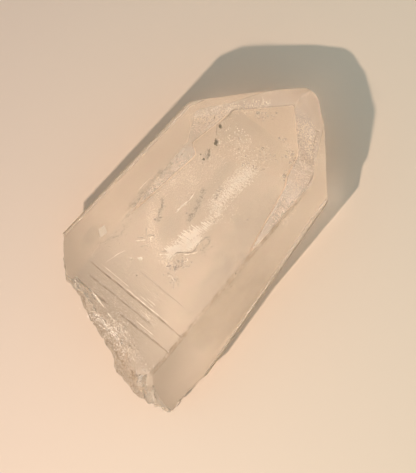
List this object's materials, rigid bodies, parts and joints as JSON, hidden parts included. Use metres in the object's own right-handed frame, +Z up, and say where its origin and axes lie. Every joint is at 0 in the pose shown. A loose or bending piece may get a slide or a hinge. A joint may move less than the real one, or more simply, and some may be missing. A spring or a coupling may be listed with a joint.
{
  "type": "clear quartz crystal",
  "caption": "Single clear quartz crystal lying on a prism face: a tapered six-sided prism with a six-sided point at one end and a conchoidal break at the other.",
  "frame": {"origin": "centre of the box over the prism face that the crystal lies on, at that face's height", "axes": "+X along the crystal's long axis toward its point, +Y across it to the left, +Z up out of the face it lies on"},
  "size_m": [0.062, 0.037, 0.022],
  "materials": {
    "quartz": "clear natural quartz, glassy on the crystal faces, with healed veils and small bubbles inside and a duller conchoidal break"
  },
  "bodies": {
    "root": {"quartz_crystal": "quartz"}
  },
  "joints": []
}
